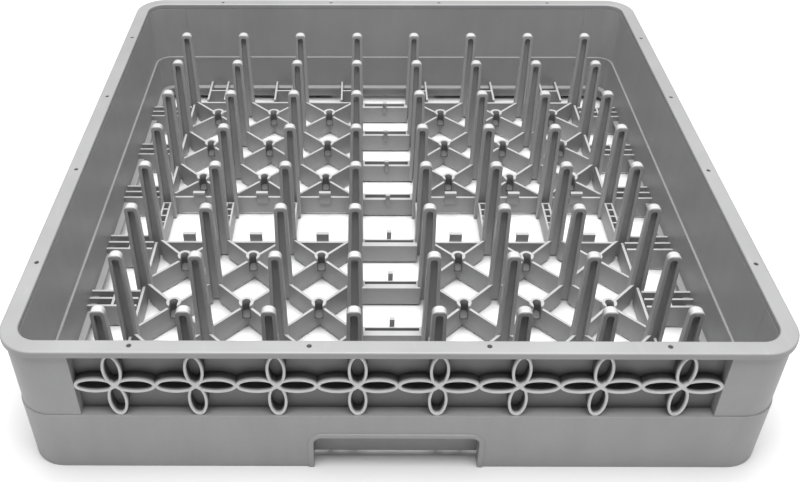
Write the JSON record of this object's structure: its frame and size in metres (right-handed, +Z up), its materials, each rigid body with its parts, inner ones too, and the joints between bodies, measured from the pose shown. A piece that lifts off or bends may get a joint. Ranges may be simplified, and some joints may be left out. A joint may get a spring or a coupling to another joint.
{
  "type": "dishwasher peg rack",
  "caption": "Square commercial warewashing rack: open grey plastic tray with upright pegs on a ribbed floor, petal grilles and hand notches in its walls.",
  "frame": {"origin": "centre of the base, on the surface that the rack stands on", "axes": "+Z up, -Y towards the front side of the picture, +X to its right"},
  "size_m": [0.5, 0.5, 0.11],
  "materials": {
    "rim_plastic": "fine satin moulded grey polypropylene",
    "wall_plastic": "fine satin moulded grey polypropylene",
    "grille_plastic": "fine satin moulded grey polypropylene",
    "lattice_plastic": "fine satin moulded grey polypropylene",
    "peg_plastic": "fine satin moulded grey polypropylene"
  },
  "bodies": {
    "root": {"rim": "rim_plastic", "corner_post_front_left": "wall_plastic", "corner_post_front_right": "wall_plastic", "corner_post_back_right": "wall_plastic", "corner_post_back_left": "wall_plastic", "window_back_front": "wall_plastic", "window_back_right": "wall_plastic", "window_back_back": "wall_plastic", "window_back_left": "wall_plastic", "petal_grille_front": "grille_plastic", "petal_grille_right": "grille_plastic", "petal_grille_back": "grille_plastic", "petal_grille_left": "grille_plastic", "skirt_front": "wall_plastic", "skirt_right": "wall_plastic", "skirt_back": "wall_plastic", "skirt_left": "wall_plastic", "basket_wall_front": "wall_plastic", "basket_wall_right": "wall_plastic", "basket_wall_back": "wall_plastic", "basket_wall_left": "wall_plastic", "row_bar_1": "lattice_plastic", "row_bar_2": "lattice_plastic", "row_bar_3": "lattice_plastic", "row_bar_4": "lattice_plastic", "row_bar_5": "lattice_plastic", "row_bar_6": "lattice_plastic", "row_bar_7": "lattice_plastic", "row_bar_8": "lattice_plastic", "column_bar_1": "lattice_plastic", "column_bar_2": "lattice_plastic", "column_bar_3": "lattice_plastic", "column_bar_4": "lattice_plastic", "column_bar_5": "lattice_plastic", "column_bar_6": "lattice_plastic", "column_bar_7": "lattice_plastic", "column_bar_8": "lattice_plastic", "diagonal_arms_front_left": "lattice_plastic", "diagonal_arms_front_right": "lattice_plastic", "diagonal_arms_back_right": "lattice_plastic", "diagonal_arms_back_left": "lattice_plastic", "crossing_rings_front_left": "lattice_plastic", "crossing_rings_front_right": "lattice_plastic", "crossing_rings_back_right": "lattice_plastic", "crossing_rings_back_left": "lattice_plastic", "bar_tabs": "lattice_plastic", "edge_stubs_front": "lattice_plastic", "edge_stubs_right": "lattice_plastic", "edge_stubs_back": "lattice_plastic", "edge_stubs_left": "lattice_plastic", "peg_row_1": "peg_plastic", "peg_row_2": "peg_plastic", "peg_row_3": "peg_plastic", "peg_row_4": "peg_plastic", "peg_row_5": "peg_plastic", "peg_row_6": "peg_plastic", "peg_row_7": "peg_plastic", "peg_row_8": "peg_plastic"}
  },
  "joints": []
}
